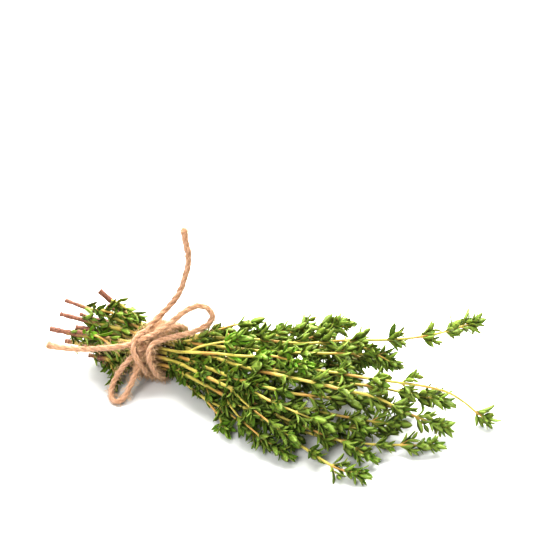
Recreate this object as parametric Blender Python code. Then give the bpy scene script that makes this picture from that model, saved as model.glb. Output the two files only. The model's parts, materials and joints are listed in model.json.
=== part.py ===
"""A bunch of fresh thyme, tied with jute twine in a bow and lying on its side.

Nineteen cut sprigs run from their woody cut ends, through the tie, to their leafy tips. Each sprig is one
solid: its stem, its side shoots and its pairs of leaves. The twine is a binding of six turns with its knot,
two bow loops and two cut ends.

All lengths below are in millimetres in the tie's own frame: the tie stands at X = 0, +X runs from the cut
ends to the leafy tips, +Y to the back, +Z up, and Z = 0 is the surface that the bunch lies on.
"""

import math

import bmesh
import bpy
import numpy as np
from mathutils import Matrix, Vector
from mathutils.bvhtree import BVHTree

MM = 0.001
BUNCH = "thyme_bunch"

# The tie's place in the part's frame, whose origin is under the middle of the sprigs and their binding.
TIE_X, TIE_Y = -43.96, 3.82

# The twine and the waist that it draws in.
TWINE = 2.5
WAIST_RADIUS = 9.7
TURN_RADIUS = WAIST_RADIUS + TWINE / 2
AXIS_HEIGHT = WAIST_RADIUS + TWINE
KNOT_ANGLE = math.radians(135)
KNOT_CENTRE = (-8.2, -9.6, 22.0)
KNOT_SIZE = (7.4, 7.0, 6.4)
KNOT_X, KNOT_PULL = -10.8, 0.5
TURNS_X = (1.5, -1.2, -3.9, -6.6, -9.3, -12.0)
TURN_LEAN = 3.0
PRESSED_FLAT = 0.4
TURN_POINTS, TURN_SIDES_RESOLUTION = 32, 4

# Leaves: length, width and thickness of a full-grown one, and where they stand on a stem.
LEAF_LENGTH, LEAF_WIDTH, LEAF_THICKNESS = 8.0, 3.7, 0.55
LEAF_WIDEST = 0.42
LEAF_SPACING, HIGHEST_PAIR, LOWEST_PAIR = 12.5, 1.5, 7.0
TURN_PER_PAIR = math.radians(82)
LEAF_ROOT_SHARE, YOUNG_SHRINK = 0.45, 0.25
LEANS = (0, -0.35, 0.3, -0.6)
TIP_LENGTH = 24.0
OPEN_ANGLE, TIP_ANGLE = math.radians(56), math.radians(30)
BARE_TIE = (-16.0, 6.0)
GAP = 0.3

# Stems: radius at the woody cut end, at the tie and at the tip.
STEM_SPACING, SHOOT_SPACING = 10.0, 7.0
SIDES_RESOLUTION = 1
SHOOT_RADIUS, TIP_RADIUS = 0.55, 0.42
WOODY_SHARE = 1.35

# Each sprig: the stem's radius at the tie, its route from the cut end to the tip, and its side shoots.
SPRIGS = {
    "long_top": (0.65, [(-49, 3.6, 25.6), (-24, 3, 21), (-9.5, 2, 19.5), (6, 2, 20.2), (32, 3, 24.5),
                        (55, 5, 26), (72, 10, 28), (92, 15, 29.5), (107, 23, 30), (121, 33, 32)],
                       [[(72, 10, 28), (80, 8.4, 27.4), (88, 8, 25), (93, 8.6, 22.6)],
                        [(-38, 3.3, 23.5), (-32, 1.4, 25.6), (-26, 0.4, 26.2), (-19, -0.4, 25.6)]]),
    "top": (0.75, [(-49, -2.2, 22.4), (-22, -2.5, 20.8), (-9.5, -2, 19.5), (5, -2.3, 20.3), (39, -4, 25),
                   (59, -2, 27), (74, 4, 26), (85, 9, 24), (92, 10, 21.5)],
                  [[(5, -2.3, 20.3), (10, -3, 23), (16, 0, 25.6), (25, 6, 27.6), (32, 11, 27.6)]]),
    "bright": (0.7, [(-38, -10.5, 21.6), (-22, -8.2, 19.6), (-9.5, -5.4, 17.6), (4, -6.2, 18),
                     (11, -10, 22), (24, -11, 25), (37, -12, 27.5), (49, -11, 29.5), (62, -15, 31)],
                    [[(11, -10, 22), (16, -8.8, 25.2), (25, -6.5, 28), (32, -4.5, 29.5)],
                     [(-36, -10.1, 21.4), (-28, -11.6, 22), (-22, -12.4, 19.2), (-18, -13.8, 15.5)]]),
    "upper_back": (0.9, [(-35, 8, 30.6), (-22, 7.2, 21.4), (-11, 5.4, 17.5), (6, 5.7, 18.1), (25, 9, 20.5),
                         (41, 11, 22), (53, 19, 24)],
                        [[(-30, 7.8, 27.4), (-25, 5.6, 27.6), (-19, 3.9, 25.8), (-16, 4.2, 24)]]),
    "back": (0.7, [(-33, 11.5, 21), (-22, 9.7, 17), (-9.5, 7.3, 14.2), (6, 7.8, 14.6), (30, 13, 17),
                   (53, 18, 18.5), (64, 27, 22.5)],
                  [[(30, 13, 17), (44, 20.6, 19.6), (56, 27, 19.4), (66, 34, 17.6)]]),
    "back_low": (0.7, [(-36, 11.5, 12.6), (-24, 10, 11.4), (-9.5, 7.3, 10.2), (6, 8, 10.3), (35, 17, 11.5),
                       (62, 22, 12), (80, 21, 11)],
                      [[(35, 17, 11.5), (48, 24.5, 9.6), (60, 29, 7.4), (70, 31.5, 5.4)]]),
    "under_back": (0.7, [(-30, 7, 5.5), (-22, 6.4, 6.2), (-13.5, 5.4, 6.8), (6, 6.2, 6.6), (30, 14, 5.4),
                         (55, 19, 5), (73, 24, 4.5)], []),
    "inner_back": (0.75, [(-44, 6.6, 17.4), (-24, 4.7, 15.4), (-9.5, 3.4, 14.1), (6, 3.5, 14.4),
                          (36, 4, 18.5), (60, 7, 20.5), (74, 12, 19.5), (90, 15, 15.5)],
                         [[(36, 4, 18.5), (50, -0.5, 20.6), (64, -2.4, 19.8), (78, -1.6, 17)]]),
    "inner_front": (0.75, [(-34, 2, 10), (-24, 2.4, 10.1), (-9.5, 3.4, 10.2), (6, 3, 10.7), (30, -4, 14.5),
                           (60, -10, 19), (86, -6, 20), (98, -4, 18.5), (108, -1, 16), (117, 1, 14)], []),
    "drooping": (0.7, [(-40, 0.4, 14.8), (-24, 0.2, 13.6), (-9.5, 0, 12.2), (6, -0.8, 13.2),
                       (20, -4.5, 17.5), (41, -8.5, 22), (70, -8.5, 25), (88, -9, 26.2), (101, -7.5, 26),
                       (111, -5, 24.6), (119, -1, 20.5), (125, 4, 13), (129, 6, 8), (135, 7, 3.6)], []),
    "upper_front": (0.8, [(-41, -5.4, 19.6), (-24, -2.6, 17.8), (-9.5, 0, 16.1), (6, -2, 17.4),
                          (20, -8, 20.6), (38, -15.6, 24.6), (58, -19.5, 27.2), (71, -19.5, 27),
                          (80, -18, 25), (92, -13.5, 21), (104, -11, 14.5), (112, -9, 10.6),
                          (119, -7, 7.4)],
                         [[(38, -15.6, 24.6), (48, -15, 25.6), (60, -13.6, 24.6), (71, -13.4, 22.4)]]),
    "middle_front": (0.85, [(-52, -7, 17.4), (-24, -5, 15.4), (-9.5, -3.4, 14.1), (6, -6.2, 15.4),
                            (20, -13.4, 18.8), (37, -20.5, 21.8), (50, -23.4, 23), (62, -23, 22.4),
                            (74, -17.5, 19.4), (85, -11.5, 16)],
                           [[(37, -20.5, 21.8), (50, -28.2, 21.4), (63, -30, 19.2), (76, -29.4, 15.6)]]),
    "front": (0.8, [(-36, -10.5, 14.2), (-24, -9, 14.2), (-9.5, -7.3, 14.2), (4, -8.4, 14.4),
                    (17, -15.4, 17), (32, -21.4, 17.8), (48, -24, 17.6), (63, -23.5, 16.4),
                    (79, -20.5, 13.6), (93, -16, 10.4), (102, -12, 8.6)],
                   [[(32, -21.4, 17.8), (43, -29, 16.8), (54, -33.8, 14.2), (64, -36.6, 10.8)]]),
    "front_low": (0.8, [(-30, -8.8, 8.4), (-22, -8.3, 9.2), (-9.5, -7.3, 10.2), (4, -8.4, 10.8),
                        (12, -13.6, 12.6), (30, -21.6, 13.2), (42, -26.6, 12.4), (55, -31, 9.8),
                        (68, -35, 6.4), (83, -41, 4.6), (94, -42, 4.2)],
                       [[(30, -21.6, 13.2), (40, -30, 10.2), (50, -35, 7.4), (62, -39.6, 4.8)],
                        [(-26, -8.55, 8.8), (-23, -11.8, 8.2), (-21, -14.6, 6.6), (-19, -18, 4.2)]]),
    "centre_low": (0.7, [(-46, -6, 11.6), (-22, -4, 10.8), (-9.5, -3.4, 10.2), (6, -5, 10.4),
                         (20, -11.5, 11.4), (40, -20.5, 12.2), (57, -27.4, 12.6), (71, -29.5, 11),
                         (82, -29, 8), (95, -31, 4.8)], []),
    "under_front": (0.65, [(-29, -6, 4.4), (-20, -5.8, 5.6), (-13.5, -5.4, 6.8), (4, -6.6, 7.2),
                           (11, -13, 7.6), (20, -18.6, 7.4), (28, -24.6, 5.8), (34, -31.5, 4)],
                          [[(20, -18.6, 7.4), (31, -23.6, 7.2), (41, -28.6, 5.6), (49, -33.5, 4)]]),
    "low_centre": (0.7, [(-39, 0.6, 7.2), (-24, 0.2, 7.8), (-9.5, 0, 8.3), (6, -1.4, 8), (30, -13.4, 7.4),
                         (52, -22, 7.6), (70, -27, 6.8), (91, -24.6, 5.4), (105, -20.5, 5),
                         (118, -16.5, 4.8)],
                        [[(52, -22, 7.6), (64, -20.6, 8.8), (77, -22.4, 10), (90, -21.4, 10.2)]]),
    "under_middle": (0.65, [(-37, -2.4, 3.4), (-20, -2.2, 4.2), (-13.5, -2, 4.9), (6, -3.4, 4.6),
                            (30, -9.4, 4), (58, -15.4, 4.4), (82, -16.6, 4.6), (97, -13.5, 4.2)], []),
    "under_right": (0.65, [(-31, 2.8, 3.8), (-20, 2.4, 4.3), (-13.5, 2, 4.9), (6, 1.8, 4.6), (34, -1, 4.6),
                           (68, -2.6, 6.6), (92, 0, 6.2), (101, 2.4, 5)],
                          [[(34, -1, 4.6), (48, 5, 6.8), (62, 8.6, 8.4), (76, 10, 8.4)]]),
}

# The twine's free stretches, from the knot outwards; a bow loop comes back to the knot.
TWINE_ENDS = {
    "twine_end_up": [(-8.6, -6.0, 25.6), (-6.4, -2.6, 28.6), (-2.8, 1.8, 32.4), (0.6, 4.4, 37), (2.8, 6.4, 42),
                     (3.9, 8, 47), (4.9, 9, 52), (4.8, 9.4, 58), (3.6, 9.9, 63), (3.0, 10.2, 68)],
    "twine_end_left": [(-12.2, -12.0, 22.4), (-16.5, -14.0, 21.6), (-23, -15.6, 20.2), (-31, -16.8, 18.6),
                       (-38, -17.4, 17.6), (-44, -17.6, 17.2), (-48.5, -17.8, 17.4)],
}
BOW_LOOPS = {
    "bow_loop_right": [(-5.0, -8.0, 25.8), (-0.6, -5.8, 28.9), (4, -2.6, 33.2), (8, 0.4, 36.2), (12.2, 2.8, 37),
                       (15.8, 3.4, 35.4), (17.2, 2.8, 32), (15.4, 0.4, 29.2), (10.8, -2.6, 27.2),
                       (5, -5.6, 25.8), (-1.2, -8.6, 24.4), (-4.0, -10.4, 23.2)],
    "bow_loop_left": [(-11.8, -14.2, 17.6), (-13.4, -15.6, 15.8), (-15.8, -17.4, 12.6), (-17.8, -19.4, 8.6),
                      (-18.8, -22.2, 4.6), (-17.6, -25.2, 2.3), (-14.8, -26.4, 2.0), (-12.6, -24.6, 3.2),
                      (-11.0, -21.8, 6.8), (-9.8, -19.2, 10.6), (-9.0, -17.0, 13.6), (-9.0, -15.0, 15.6)],
}
CORD_SPACING = 4.2


def clear_scene():
    for thing in list(bpy.data.objects):
        bpy.data.objects.remove(thing)


def finish(name, colour, roughness):
    made = bpy.data.materials.new(name)
    made.use_nodes = True
    shader = made.node_tree.nodes["Principled BSDF"]
    shader.inputs["Base Color"].default_value = (*colour, 1)
    shader.inputs["Roughness"].default_value = roughness
    shader.inputs["Metallic"].default_value = 0
    return made


def route_through(points, spacing):
    """Evenly spaced points on a smooth curve through the given ones."""
    given = np.array(points, float)
    ends = np.vstack([2 * given[0] - given[1], given, 2 * given[-1] - given[-2]])
    share = np.linspace(0, 1, 12, endpoint=False)[:, None]
    fine = []
    for a, b, c, d in zip(ends, ends[1:], ends[2:], ends[3:]):
        fine.append(0.5 * (2 * b + (c - a) * share + (2 * a - 5 * b + 4 * c - d) * share**2
                           + (3 * b - a - 3 * c + d) * share**3))
    fine = np.vstack([*fine, given[-1]])
    along = np.concatenate([[0], np.cumsum(np.linalg.norm(np.diff(fine, axis=0), axis=1))])
    stops = np.linspace(0, along[-1], max(3, round(along[-1] / spacing) + 1))
    return np.stack([np.interp(stops, along, fine[:, k]) for k in range(3)], axis=1)


def tube(name, route, radii, resolution=SIDES_RESOLUTION, closed=False):
    """A curve object with filled caps along the route, made a closed mesh."""
    line = bpy.data.curves.new(name, "CURVE")
    line.dimensions = "3D"
    line.bevel_depth = MM
    line.bevel_resolution = resolution
    line.use_fill_caps = not closed
    line.twist_mode = "MINIMUM"
    spline = line.splines.new("POLY")
    spline.points.add(len(route) - 1)
    spline.use_cyclic_u = closed
    for point, place, radius in zip(spline.points, route, radii):
        point.co = (*(MM * x for x in place), 1)
        point.radius = radius
    curve = bpy.data.objects.new(name, line)
    bpy.context.scene.collection.objects.link(curve)
    made = as_mesh(curve)
    bpy.data.objects.remove(curve)
    bm = bmesh.new()
    bm.from_mesh(made.data)
    bmesh.ops.remove_doubles(bm, verts=bm.verts, dist=0.01 * MM)
    bmesh.ops.recalc_face_normals(bm, faces=bm.faces)
    bm.to_mesh(made.data)
    bm.free()
    return made


def as_mesh(thing):
    """A plain mesh object of what the given object evaluates to."""
    bpy.context.view_layer.update()
    graph = bpy.context.evaluated_depsgraph_get()
    mesh = bpy.data.meshes.new_from_object(thing.evaluated_get(graph))
    made = bpy.data.objects.new(thing.name + "_mesh", mesh)
    made.matrix_world = thing.matrix_world
    bpy.context.scene.collection.objects.link(made)
    return made


def union(body, others):
    """Joins the other closed shapes to the body, one after another, and removes them."""
    for other in others:
        join = body.modifiers.new("join", "BOOLEAN")
        join.operation = "UNION"
        join.object = other
        joined = as_mesh(body)
        for used in (body, other):
            bpy.data.objects.remove(used)
        body = joined
    return body


def flat_triangles(thing):
    """The object's points and triangles, for a clearance test."""
    mesh = thing.data
    mesh.calc_loop_triangles()
    return [v.co.copy() for v in mesh.vertices], [tuple(t.vertices) for t in mesh.loop_triangles]


def turn_route(waist_x):
    """One turn round the waist: it leans to the leafy tips at its top, and is drawn to the knot over it."""
    route = []
    for angle in np.linspace(0, 2 * math.pi, TURN_POINTS, endpoint=False):
        pull = KNOT_PULL * (0.5 + 0.5 * math.cos(angle - KNOT_ANGLE)) ** 3
        leaned = waist_x + TURN_LEAN * math.sin(angle)
        x = leaned + (KNOT_X - leaned) * pull
        route.append((x, TURN_RADIUS * math.cos(angle), AXIS_HEIGHT + TURN_RADIUS * math.sin(angle)))
    return route


def build_binding():
    """The turns and the knot in one solid, with its underside pressed flat on the surface."""
    turns = [tube("turn", turn_route(x), [TWINE / 2] * TURN_POINTS, TURN_SIDES_RESOLUTION, closed=True)
             for x in TURNS_X]
    bm = bmesh.new()
    bmesh.ops.create_uvsphere(bm, u_segments=10, v_segments=6, radius=0.5 * MM)
    bmesh.ops.scale(bm, verts=bm.verts, vec=KNOT_SIZE)
    bmesh.ops.translate(bm, verts=bm.verts, vec=Vector(KNOT_CENTRE) * MM)
    knot = bpy.data.objects.new("knot", bpy.data.meshes.new("knot"))
    bm.to_mesh(knot.data)
    bm.free()
    bpy.context.scene.collection.objects.link(knot)
    binding = union(knot, turns)
    for vertex in binding.data.vertices:
        vertex.co.z = max(vertex.co.z, PRESSED_FLAT * MM)
    return binding


class Clearance:
    """Keeps what has been placed, so that a new leaf can be tested against all of it."""

    def __init__(self):
        self.fixed = {}
        self.points, self.faces = [], []

    def add_fixed(self, name, thing):
        self.fixed[name] = BVHTree.FromPolygons(*flat_triangles(thing))

    def is_free(self, points, faces, own):
        probe = BVHTree.FromPolygons(points, faces)
        if any(tree.overlap(probe) for name, tree in self.fixed.items() if name != own):
            return False
        return not self.faces or not BVHTree.FromPolygons(self.points, self.faces).overlap(probe)

    def add_leaf(self, points, faces):
        start = len(self.points)
        self.points += points
        self.faces += [tuple(start + i for i in face) for face in faces]


def leaf_shape(length, width, thickness):
    """A pointed leaf along +Z from the origin, flat across Y, as a stretched sphere of a few faces."""
    bm = bmesh.new()
    bmesh.ops.create_uvsphere(bm, u_segments=4, v_segments=2, radius=1)
    for vertex in bm.verts:
        share = 0.5 * (vertex.co.z + 1)
        if 0.1 < share < 0.9:
            share = LEAF_WIDEST
        vertex.co = Vector((vertex.co.x * width / 2, vertex.co.y * thickness / 2, share * length)) * MM
    bmesh.ops.triangulate(bm, faces=bm.faces)
    points = [v.co.copy() for v in bm.verts]
    faces = [tuple(v.index for v in f.verts) for f in bm.faces]
    bm.free()
    return points, faces


def leaf_frame(root, along, outward, angle):
    """Where a leaf stands: its length opens from the stem by the angle, its face looks up the stem."""
    length_way = (along * math.cos(angle) + outward * math.sin(angle)).normalized()
    face_way = (along * math.sin(angle) - outward * math.cos(angle)).normalized()
    across = length_way.cross(face_way)
    turn = Matrix((across, -face_way, length_way)).transposed().to_4x4()
    turn.normalize()
    return Matrix.Translation(root * MM) @ turn


def leaf_places(route, radii, phase):
    """Root, stem direction, outward direction, opening angle and size of each leaf, in pairs down the shoot."""
    steps = np.linalg.norm(np.diff(route, axis=0), axis=1)
    along = np.concatenate([[0], np.cumsum(steps)])
    count = max(2, round((along[-1] - LOWEST_PAIR / 2) / LEAF_SPACING))
    stops = np.linspace(along[-1] - HIGHEST_PAIR, LOWEST_PAIR, count)
    for pair, stop in enumerate(stops):
        here = Vector([np.interp(stop, along, route[:, k]) for k in range(3)])
        ahead = Vector([np.interp(stop + 1, along, route[:, k]) for k in range(3)])
        behind = Vector([np.interp(stop - 1, along, route[:, k]) for k in range(3)])
        way = (ahead - behind).normalized()
        side = way.cross(Vector((0, 0, 1))).normalized()
        radius = np.interp(stop, along, radii)
        youth = max(0.0, 1 - (along[-1] - stop) / TIP_LENGTH)
        angle = OPEN_ANGLE + (TIP_ANGLE - OPEN_ANGLE) * youth
        for half in range(2):
            turn = phase + pair * TURN_PER_PAIR + half * math.pi
            outward = side * math.cos(turn) + way.cross(side) * math.sin(turn)
            yield here + outward * radius * LEAF_ROOT_SHARE, way, outward, angle, 1 - YOUNG_SHRINK * youth


def grow_leaves(name, route, radii, phase, clearance):
    """Leaves where there is room for them, as one object of separate closed leaves, or None."""
    bm = bmesh.new()
    for root, way, outward, angle, size in leaf_places(route, radii, phase):
        if BARE_TIE[0] < root.x < BARE_TIE[1]:
            continue
        sizes = [LEAF_LENGTH * size, LEAF_WIDTH * size, LEAF_THICKNESS]
        points, faces = leaf_shape(*sizes)
        roomy, _ = leaf_shape(sizes[0] + GAP, sizes[1] + 2 * GAP, sizes[2] + 2 * GAP)
        probe = [Vector((0, 0, GAP * MM)) + p for p in roomy]
        for lean in LEANS:
            stand = leaf_frame(root, way, outward, angle + lean)
            placed = [stand @ p for p in points]
            tested = [stand @ p for p in probe]
            if min(p.z for p in placed) < PRESSED_FLAT * MM:
                continue
            if clearance.is_free(tested, faces, name):
                clearance.add_leaf(placed, faces)
                corners = [bm.verts.new(p) for p in placed]
                for face in faces:
                    bm.faces.new([corners[i] for i in face])
                break
    if not bm.faces:
        bm.free()
        return None
    bmesh.ops.recalc_face_normals(bm, faces=bm.faces)
    leaves = bpy.data.objects.new("leaves", bpy.data.meshes.new("leaves"))
    bm.to_mesh(leaves.data)
    bm.free()
    bpy.context.scene.collection.objects.link(leaves)
    return leaves


def main_stem(radius, points):
    route = route_through(points, STEM_SPACING)
    x = route[:, 0]
    radii = np.interp(x, [x[0], 0, x[-1]], [radius * WOODY_SHARE, radius, TIP_RADIUS])
    return route, radii


def side_shoot(points):
    """A side shoot starts on the axis of its stem, so that both join over its full width."""
    route = route_through(points, SHOOT_SPACING)
    return route, np.linspace(SHOOT_RADIUS, TIP_RADIUS, len(route))


def build_sprigs(clearance):
    """Every stem is placed first, so that no leaf takes a stem's room."""
    shoots = {name: [main_stem(radius, points)] + [side_shoot(s) for s in side]
              for name, (radius, points, side) in SPRIGS.items()}
    stems = {}
    for name, lines in shoots.items():
        first, *rest = [tube(name, route, radii) for route, radii in lines]
        stems[name] = union(first, rest)
        clearance.add_fixed(name, stems[name])
    sprigs = {}
    for number, (name, lines) in enumerate(shoots.items()):
        grown = [grow_leaves(name, route, radii, 0.9 * number + 0.5 * k, clearance)
                 for k, (route, radii) in enumerate(lines)]
        sprigs["sprig_" + name] = union(stems[name], [g for g in grown if g])
    return sprigs


def place(name, thing, finish_material, holder, collection):
    """Names the finished solid, gives it its material and hangs it on the bunch's empty."""
    thing.name = name
    thing.data.name = name
    thing.data.materials.clear()
    thing.data.materials.append(finish_material)
    thing.parent = holder
    bpy.context.scene.collection.objects.unlink(thing)
    collection.objects.link(thing)
    thing.data.shade_smooth()
    thing.data.set_sharp_from_angle(angle=math.radians(40))


def main():
    clear_scene()
    collection = bpy.data.collections.new(BUNCH)
    bpy.context.scene.collection.children.link(collection)
    holder = bpy.data.objects.new("tie_place", None)
    holder.location = (TIE_X * MM, TIE_Y * MM, -PRESSED_FLAT * MM)
    collection.objects.link(holder)
    thyme = finish("thyme", (0.13, 0.24, 0.06), 0.55)
    jute = finish("jute", (0.62, 0.42, 0.26), 0.9)

    clearance = Clearance()
    twine = {"twine_binding": build_binding()}
    for name, points in {**TWINE_ENDS, **BOW_LOOPS}.items():
        route = route_through(points, CORD_SPACING)
        twine[name] = tube(name, route, [TWINE / 2] * len(route), resolution=2)
    for name, thing in twine.items():
        clearance.add_fixed(name, thing)
    for name, thing in build_sprigs(clearance).items():
        place(name, thing, thyme, holder, collection)
    for name, thing in twine.items():
        place(name, thing, jute, holder, collection)


main()
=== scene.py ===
"""A bunch of fresh thyme tied with jute twine: the looks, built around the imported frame."""

import json
import math
from itertools import product

import bpy
import numpy as np
from mathutils import Matrix, Vector, noise

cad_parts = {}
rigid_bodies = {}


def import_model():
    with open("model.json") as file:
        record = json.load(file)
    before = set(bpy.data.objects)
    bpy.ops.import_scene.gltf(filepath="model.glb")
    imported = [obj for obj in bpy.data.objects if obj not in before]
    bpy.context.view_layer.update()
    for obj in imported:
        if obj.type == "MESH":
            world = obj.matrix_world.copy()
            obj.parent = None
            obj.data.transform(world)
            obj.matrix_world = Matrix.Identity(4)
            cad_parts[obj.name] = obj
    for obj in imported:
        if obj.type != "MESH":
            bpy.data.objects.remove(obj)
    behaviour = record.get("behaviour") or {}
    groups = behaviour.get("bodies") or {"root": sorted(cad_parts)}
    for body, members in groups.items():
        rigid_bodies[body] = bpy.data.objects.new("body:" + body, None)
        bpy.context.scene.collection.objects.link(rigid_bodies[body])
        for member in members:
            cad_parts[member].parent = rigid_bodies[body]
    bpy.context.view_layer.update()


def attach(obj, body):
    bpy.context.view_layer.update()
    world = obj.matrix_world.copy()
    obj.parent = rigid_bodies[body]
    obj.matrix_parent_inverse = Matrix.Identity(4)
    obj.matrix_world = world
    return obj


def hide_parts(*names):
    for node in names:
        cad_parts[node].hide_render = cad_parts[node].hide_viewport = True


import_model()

# ------------------------------------------------------------
# The camera stands in front of the tie and a little towards the leafy tips, and looks down on
# the bunch. Places are given in millimetres in the tie's own frame: X to the leafy tips, Y to the
# back, Z up from the surface, as in the solids.
MM = 0.001
TIE = np.array((-43.96, 3.82, -0.4))
RING = np.array((0, 0, 12.2))
CAMERA_TURN, CAMERA_TILT = math.radians(18), math.radians(35)
CAMERA_DISTANCE = 850
CAMERA_RIGHT, CAMERA_UP = 39.7, 35.9
LENS = 136.7


def from_tie(points):
    """Places in the frame, in metres, of points in the tie's own frame."""
    return (np.asarray(points, float) + TIE) * MM


def look_at_tie():
    right = np.array((math.cos(CAMERA_TURN), math.sin(CAMERA_TURN), 0))
    back = np.array((math.sin(CAMERA_TURN) * math.cos(CAMERA_TILT),
                     -math.cos(CAMERA_TURN) * math.cos(CAMERA_TILT), math.sin(CAMERA_TILT)))
    up = np.cross(back, right)
    place = from_tie(RING + CAMERA_RIGHT * right + CAMERA_UP * up + CAMERA_DISTANCE * back)
    camera = bpy.data.objects.new("camera", bpy.data.cameras.new("camera"))
    camera.data.lens = LENS
    camera.data.clip_start = 0.01
    stand = Matrix((right, up, back)).transposed().to_4x4()
    stand.translation = place
    camera.matrix_world = stand
    bpy.context.scene.collection.objects.link(camera)
    bpy.context.scene.camera = camera


look_at_tie()

# ------------------------------------------------------------
# Jute twine: three plies laid together, brown-pink, with painted shade darkening the grooves
# between the plies, long fibres along the strand and loose hairs. One strand runs from its left
# end through the knot, round both bow loops and up to its other end, and its turns draw in the
# waist.
TWINE = 2.5
SURFACE = -TIE[2]
PLY_REACH, PLY_RADIUS = 0.47, 0.79
TWINE_LAY = 11.5
AROUND = 24
STATION = 0.45
CURVE_STEPS = 12
UNEVEN, UNEVEN_SIZE, UNEVEN_PLACE = 0.08, 1.6, 0.55
FIBRES, FIBRES_ROUND, FIBRES_ALONG = 0.06, 5, 0.25
PATTERN_ROUND, PATTERN_ALONG = 1.3, 0.16

TWINE_END_UP = [
    (-8.6, -6.0, 25.6), (-6.4, -2.6, 28.6), (-2.8, 1.8, 32.4), (0.6, 4.4, 37), (2.8, 6.4, 42),
    (3.9, 8, 47), (4.9, 9, 52), (4.8, 9.4, 58), (3.6, 9.9, 63), (3.0, 10.2, 68)]
TWINE_END_LEFT = [
    (-12.2, -12.0, 22.4), (-16.5, -14.0, 21.6), (-23, -15.6, 20.2), (-31, -16.8, 18.6),
    (-38, -17.4, 17.6), (-44, -17.6, 17.2), (-48.5, -17.8, 17.4)]
BOW_LOOP_RIGHT = [
    (-5.0, -8.0, 25.8), (-0.6, -5.8, 28.9), (4, -2.6, 33.2), (8, 0.4, 36.2), (12.2, 2.8, 37),
    (15.8, 3.4, 35.4), (17.2, 2.8, 32), (15.4, 0.4, 29.2), (10.8, -2.6, 27.2), (5, -5.6, 25.8),
    (-1.2, -8.6, 24.4), (-4.0, -10.4, 23.2)]
BOW_LOOP_LEFT = [
    (-11.8, -14.2, 17.6), (-13.4, -15.6, 15.8), (-15.8, -17.4, 12.6), (-17.8, -19.4, 8.6),
    (-18.8, -22.2, 4.6), (-17.6, -25.2, 2.3), (-14.8, -26.4, 2.0), (-12.6, -24.6, 3.2),
    (-11.0, -21.8, 6.8), (-9.8, -19.2, 10.6), (-9.0, -17.0, 13.6), (-9.0, -15.0, 15.6)]
KNOT_FROM_LEFT_END = [(-10.2, -11.2, 23.6), (-7.6, -9.8, 25.0)]
KNOT_INTO_LEFT_LOOP = [(-7.0, -10.0, 20.6), (-9.6, -12.6, 19.4)]
KNOT_OUT_OF_LEFT_LOOP = [(-9.2, -12.6, 17.6), (-9.6, -9.6, 20.4)]
DOWN_FROM_RIGHT_LOOP = [
    (-5.0, -12.9, 21.2), (-4.5, -14.3, 17.4), (-3.2, -14.0, 13.0), (-1.8, -12.6, 9.0)]
DOWN_OVER_THE_KNOT = [
    (-10.4, -9.2, 25.7), (-11.6, -12.6, 23.9), (-10.9, -15.3, 20.9), (-8.8, -16.3, 17.2),
    (-7.2, -15.0, 13.0), (-6.6, -12.8, 9.2)]
WAIST_RADIUS = 9.7
TURN_RADIUS = WAIST_RADIUS + TWINE / 2
AXIS_HEIGHT = WAIST_RADIUS + TWINE
KNOT_ANGLE, KNOT_X, KNOT_PULL = math.radians(135), -10.8, 0.5
TURN_LEAN = 3.0
RISE_ANGLES, RISE = (415, 450, 482), (0, 1.2, 2.4)
THICK_AND_THIN, FRAY_LENGTH, FLARE, FLARE_LENGTH = 0.1, 3.0, 0.28, 7.0
CLOSED_TURNS_X = (-1.2, -6.6, -9.3, -12.0)
FROM_RIGHT_LOOP_X, OVER_THE_KNOT_X = 1.5, -3.9


def smooth_through(points, spacing):
    """Evenly spaced points on a smooth curve through the given ones."""
    given = np.array(points, float)
    ends = np.vstack([2 * given[0] - given[1], given, 2 * given[-1] - given[-2]])
    share = np.linspace(0, 1, CURVE_STEPS, endpoint=False)[:, None]
    fine = []
    for a, b, c, d in zip(ends, ends[1:], ends[2:], ends[3:]):
        fine.append(0.5 * (2 * b + (c - a) * share + (2 * a - 5 * b + 4 * c - d) * share**2
                           + (3 * b - a - 3 * c + d) * share**3))
    fine = np.vstack([*fine, given[-1]])
    along = run_along(fine)
    stops = np.linspace(0, along[-1], max(3, round(along[-1] / spacing) + 1))
    return at_length(fine, along, stops)


def run_along(route):
    return np.concatenate([[0], np.cumsum(np.linalg.norm(np.diff(route, axis=0), axis=1))])


def at_length(route, along, stops):
    return np.stack([np.interp(stops, along, route[:, k]) for k in range(3)], axis=-1)


def unit(way):
    return way / np.linalg.norm(way)


def add_piece(name, mesh):
    """A mesh as a piece of the bunch: it rides on the frame's one body."""
    piece = bpy.data.objects.new(name, mesh)
    bpy.context.scene.collection.objects.link(piece)
    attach(piece, "root")
    return piece


def directions(route, closed):
    if closed:
        ahead = np.roll(route, -1, axis=0) - np.roll(route, 1, axis=0)
    else:
        ahead = np.gradient(route, axis=0)
    return ahead / np.linalg.norm(ahead, axis=1, keepdims=True)


def side_ways(route, closed):
    """A side direction at each point: along X for a turn round the waist, else carried along."""
    ahead = directions(route, closed)
    side = np.cross(ahead[0], (0, 0, 1.0))
    sides = []
    for way in ahead:
        if closed:
            side = np.array((1.0, 0, 0))
        side = unit(side - way * np.dot(side, way))
        sides.append(side)
    sides = np.array(sides)
    return ahead, sides, np.cross(ahead, sides)


def ply_outline():
    """Angles round the strand, and at each the distance from its centre to its three plies."""
    angle = np.linspace(0, 2 * math.pi, AROUND, endpoint=False)
    lobe = (angle + math.pi / 3) % (2 * math.pi / 3) - math.pi / 3
    reach = PLY_REACH * np.cos(lobe) + np.sqrt(PLY_RADIUS**2 - (PLY_REACH * np.sin(lobe)) ** 2)
    return angle, reach


def keep_columns(mesh, columns):
    """Stores a value for each of the mesh's points under each column's name."""
    for column, (kind, values) in columns.items():
        field = "vector" if kind == "FLOAT_VECTOR" else "value"
        mesh.attributes.new(column, kind, "POINT").data.foreach_set(field, values)


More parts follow.
